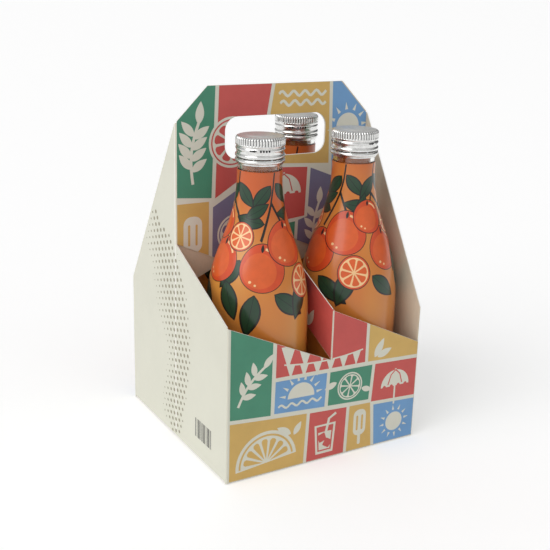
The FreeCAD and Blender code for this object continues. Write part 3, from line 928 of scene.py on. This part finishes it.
def studio():
    """Pale floor, a room that is brighter on the upper left, and two soft lamps."""
    world = bpy.data.worlds.new("studio")
    world.use_nodes = True
    tree = world.node_tree
    where = tree.nodes.new("ShaderNodeTexCoord").outputs["Generated"]
    along = tree.nodes.new("ShaderNodeVectorMath")
    along.operation = "DOT_PRODUCT"
    along.inputs[1].default_value = (-0.70, -0.35, 0.62)
    tree.links.new(where, along.inputs[0])
    ramp = tree.nodes.new("ShaderNodeMapRange")
    ramp.interpolation_type = "SMOOTHSTEP"
    limits = {"From Min": -0.7, "From Max": 0.9, "To Min": ROOM_DARK, "To Max": ROOM_BRIGHT}
    for key, value in limits.items():
        ramp.inputs[key].default_value = value
    tree.links.new(along.outputs["Value"], ramp.inputs["Value"])
    tree.links.new(ramp.outputs["Result"], tree.nodes["Background"].inputs["Strength"])
    tree.nodes["Background"].inputs["Color"].default_value = (1.0, 1.0, 1.0, 1.0)
    bpy.context.scene.world = world
    s = Shader("floor")
    tone = s.spread(s.noise(60.0, 2.0), 0.3, 0.7, 0.0, 0.3)
    s.set(Base_Color=s.mix(tone, (0.9, 0.9, 0.9, 1.0), (0.88, 0.88, 0.88, 1.0)), Roughness=0.8)
    rays = s.node("ShaderNodeLightPath").outputs
    bounced = s.math("MAXIMUM", rays["Is Glossy Ray"], rays["Is Transmission Ray"])
    seen = s.math("MAXIMUM", rays["Is Camera Ray"], bounced)
    s.set(Emission_Color=(1.0, 1.0, 1.0, 1.0), Emission_Strength=s.math("MULTIPLY", seen, FLOOR_LIFT))
    mesh = bpy.data.meshes.new("floor")
    mesh.from_pydata([(-30, -30, 0), (30, -30, 0), (30, 30, 0), (-30, 30, 0)], [], [(0, 1, 2, 3)])
    mesh.materials.append(s.material)
    floor = bpy.data.objects.new("floor", mesh)
    floor.location.z = -0.0002
    bpy.context.scene.collection.objects.link(floor)
    sun_lamp("key", (0.80, 0.16, -0.58), 50.0, 1.25)
    sun_lamp("fill", (-0.55, 0.5, -0.67), 70.0, 0.25)
    sun_lamp("back", (-0.3, -0.8, -0.5), 70.0, 0.25)
    bpy.context.scene.view_settings.view_transform = "Standard"
    bpy.context.scene.view_settings.look = "None"


def dress(node, material):
    """Gives a CAD node its material."""
    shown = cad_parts[node]
    shown.data.materials.clear()
    shown.data.materials.append(material)


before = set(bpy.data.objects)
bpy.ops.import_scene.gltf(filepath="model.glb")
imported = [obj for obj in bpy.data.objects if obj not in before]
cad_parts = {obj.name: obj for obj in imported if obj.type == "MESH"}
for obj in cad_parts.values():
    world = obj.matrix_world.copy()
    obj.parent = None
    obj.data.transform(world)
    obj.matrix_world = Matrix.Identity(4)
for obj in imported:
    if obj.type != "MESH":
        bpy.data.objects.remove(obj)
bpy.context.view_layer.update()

PAPER_INKS = {
    "ochre": ink("ochre", srgb(216, 178, 103)),
    "blue": ink("blue", srgb(116, 162, 208)),
    "red": ink("red", srgb(205, 90, 85)),
    "green": ink("green", srgb(76, 144, 116)),
    "slate": ink("slate", srgb(124, 122, 152)),
    "cream": ink("cream", CREAM, 0.03),
    "tan": ink("tan", srgb(158, 151, 128)),
    "black": ink("black", srgb(34, 32, 34)),
}
FILM_INKS = {
    "gold": sleeve_material(),
    "fruit": film_ink("fruit", srgb(216, 78, 36)),
    "glow": film_ink("glow", srgb(226, 98, 42)),
    "shine": film_ink("shine", srgb(250, 206, 150)),
    "leaf": film_ink("leaf", srgb(27, 62, 38)),
    "vein": film_ink("vein", srgb(16, 38, 26)),
    "black": film_ink("outline", srgb(24, 26, 22)),
}
METAL_INKS = {"black": film_ink("cap_black", srgb(18, 18, 18))}

dress("carrier_sheet", board_material())
glass, drink, liner = glass_material(), drink_material(), liner_material()
metal = metal_material("cap_metal", srgb(232, 232, 230), 0.16)
CAP_METALS = (
    metal,
    metal_material("cap_top", srgb(236, 236, 233), 0.42),
    # Third metal: dark grey for the flute valleys, painted shade and painted dark reflection where the
    # flutes dip.
    metal_material("cap_flute_painted_shade", srgb(96, 96, 98), 0.4),
)
half_turn = Matrix.Rotation(math.pi, 4, "Z")
for draw in (front_print, strap_print, handle_print, side_dots):
    mesh = draw(PAPER_INKS)
    show(mesh.name, mesh)
    show(mesh.name + "_back", mesh, move=half_turn)
show("barcode", barcode(PAPER_INKS))

sleeve_mesh = sleeve_print(FILM_INKS)
arrow_mesh = cap_arrows(METAL_INKS)
cap_mesh = cap_shell(CAP_METALS)
turns = {"front_left": 214.0, "front_right": 150.0, "back_left": 20.0, "back_right": 95.0}
for cell in CELLS:
    dress("bottle_glass_" + cell, glass)
    dress("drink_" + cell, drink)
    dress("printed_sleeve_" + cell, FILM_INKS["gold"])
    dress("tamper_band_" + cell, metal)
    dress("cap_liner_" + cell, liner)
    low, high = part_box("cap_liner_" + cell)
    centre = ((low[0] + high[0]) / 2, (low[1] + high[1]) / 2, 0.0)
    place = Matrix.Translation(centre) @ Matrix.Rotation(math.radians(turns[cell]), 4, "Z")
    show("sleeve_print_" + cell, sleeve_mesh, "carrier", place)
    show("cap_arrows_" + cell, arrow_mesh, "cap_" + cell, place)
    shell = show("cap_shell_" + cell, cap_mesh, "cap_" + cell, place)
    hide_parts("screw_cap_" + cell)

camera()
studio()
